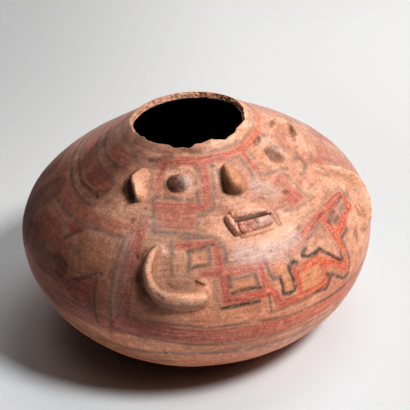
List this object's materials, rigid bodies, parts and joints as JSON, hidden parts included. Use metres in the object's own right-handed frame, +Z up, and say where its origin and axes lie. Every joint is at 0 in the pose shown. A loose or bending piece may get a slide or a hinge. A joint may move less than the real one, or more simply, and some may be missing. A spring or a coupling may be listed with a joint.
{
  "type": "anthropomorphic globular vase",
  "caption": "Squat globular clay vessel with a broken neck, a modelled face high on its shoulder and two curved arms in relief on its belly.",
  "frame": {"origin": "middle of the flat foot that the vessel rests on", "axes": "+Z up through the mouth; -Y is the side with the face; +X is to the right of a viewer who looks at the face"},
  "size_m": [0.3191, 0.3192, 0.1996],
  "materials": {
    "burnished_clay": "burnished slip with painted bands",
    "broken_clay": "rough break",
    "brown_clay": "burnished",
    "grey_clay": "matt, grey paint",
    "pale_clay": "worn, matt",
    "red_clay": "matt",
    "arm_clay": "burnished"
  },
  "bodies": {
    "root": {"vessel_body": "burnished_clay", "neck_stub": "broken_clay", "nose": "brown_clay", "left_eye": "grey_clay", "right_eye": "grey_clay", "left_ear": "pale_clay", "right_ear": "pale_clay", "mouth_upper_lip": "pale_clay", "mouth_right_corner": "pale_clay", "mouth_lower_lip": "pale_clay", "mouth_left_corner": "pale_clay", "mouth_plate": "red_clay", "left_arm": "arm_clay", "left_hand": "arm_clay", "right_arm": "pale_clay", "right_hand": "pale_clay"}
  },
  "joints": []
}
